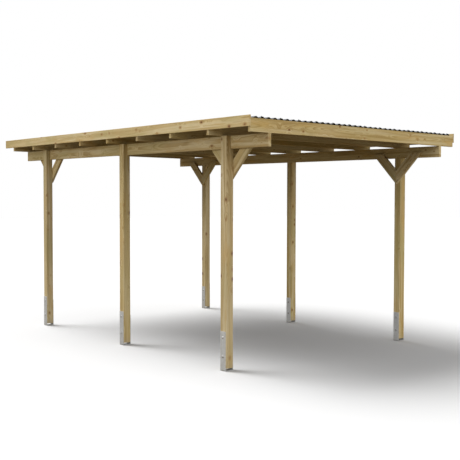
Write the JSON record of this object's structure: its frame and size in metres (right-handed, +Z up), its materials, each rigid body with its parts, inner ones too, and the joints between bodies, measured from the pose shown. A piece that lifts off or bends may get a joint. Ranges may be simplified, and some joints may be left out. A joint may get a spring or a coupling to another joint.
{
  "type": "carport",
  "caption": "Open timber carport with flat corrugated roof, posts in steel shoes, purlins, rafters, side fascias and V braces.",
  "frame": {"origin": "on the ground, in the middle of the roof's length and width", "axes": "+Z up, +Y from the drive-in end to the rear, +X to the right seen from the drive-in end"},
  "size_m": [3.21, 5.222, 2.5492],
  "materials": {
    "treated_pine": "planed pressure-treated softwood, soft grain with small knots",
    "galvanised_steel": "hot-dip galvanised, satin grey",
    "roof_sheet": "charcoal corrugated sheet, slightly satin"
  },
  "bodies": {
    "root": {"brace_front_left_backward": "treated_pine", "brace_front_left_forward": "treated_pine", "brace_front_right_backward": "treated_pine", "brace_front_right_forward": "treated_pine", "brace_rear_left_backward": "treated_pine", "brace_rear_left_forward": "treated_pine", "brace_rear_right_backward": "treated_pine", "brace_rear_right_forward": "treated_pine", "fascia_left": "treated_pine", "fascia_right": "treated_pine", "post_front_left": "treated_pine", "post_front_right": "treated_pine", "post_middle_left": "treated_pine", "post_middle_right": "treated_pine", "post_rear_left": "treated_pine", "post_rear_right": "treated_pine", "purlin_left": "treated_pine", "purlin_right": "treated_pine", "rafter_1": "treated_pine", "rafter_2": "treated_pine", "rafter_3": "treated_pine", "rafter_4": "treated_pine", "rafter_5": "treated_pine", "rafter_6": "treated_pine", "rafter_7": "treated_pine", "rafter_8": "treated_pine", "rafter_9": "treated_pine", "roof_sheet_1": "roof_sheet", "roof_sheet_2": "roof_sheet", "roof_sheet_3": "roof_sheet", "roof_sheet_4": "roof_sheet", "shoe_front_left": "galvanised_steel", "shoe_front_right": "galvanised_steel", "shoe_middle_left": "galvanised_steel", "shoe_middle_right": "galvanised_steel", "shoe_rear_left": "galvanised_steel", "shoe_rear_right": "galvanised_steel"}
  },
  "joints": []
}
